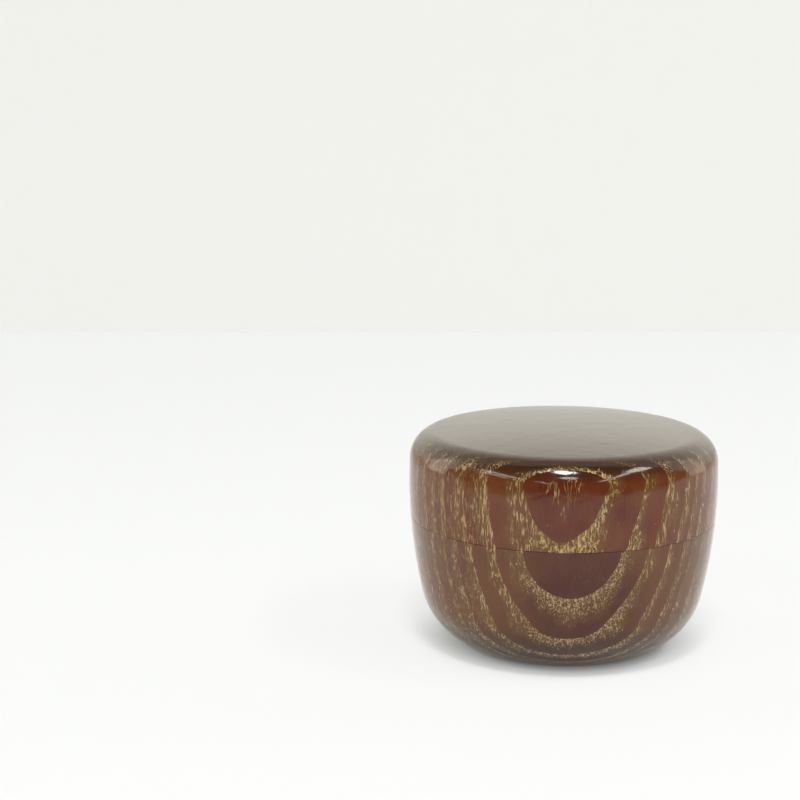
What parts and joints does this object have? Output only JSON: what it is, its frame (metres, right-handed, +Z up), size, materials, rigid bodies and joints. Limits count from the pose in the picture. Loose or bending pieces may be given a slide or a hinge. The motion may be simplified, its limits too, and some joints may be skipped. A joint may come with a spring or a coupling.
{
  "type": "natsume tea caddy",
  "caption": "Flat turned-wood tea caddy with a close-fitting lift-off lid, a standing inner rim, rounded shoulders and a round-cornered well.",
  "frame": {"origin": "middle of the foot, on the surface that the caddy stands on", "axes": "+Z up the lathe axis, from the foot to the crown of the lid; -Y is the side with the pointed grain arches that face the camera"},
  "size_m": [0.082, 0.082, 0.06],
  "materials": {
    "lacquered_wood": "clear red-brown lacquer over wood grain with gold in the pores, high gloss",
    "black_lacquer": "black lacquer, high gloss"
  },
  "bodies": {
    "caddy_body": {"body": "lacquered_wood", "body_lining": "black_lacquer"},
    "caddy_lid": {"lid": "lacquered_wood", "lid_lining": "black_lacquer"}
  },
  "joints": [
    {"name": "lid_lift", "type": "slide", "parent": "caddy_body", "child": "caddy_lid", "axis": [0, 0, 1], "range_m": [0, 0.05]}
  ]
}
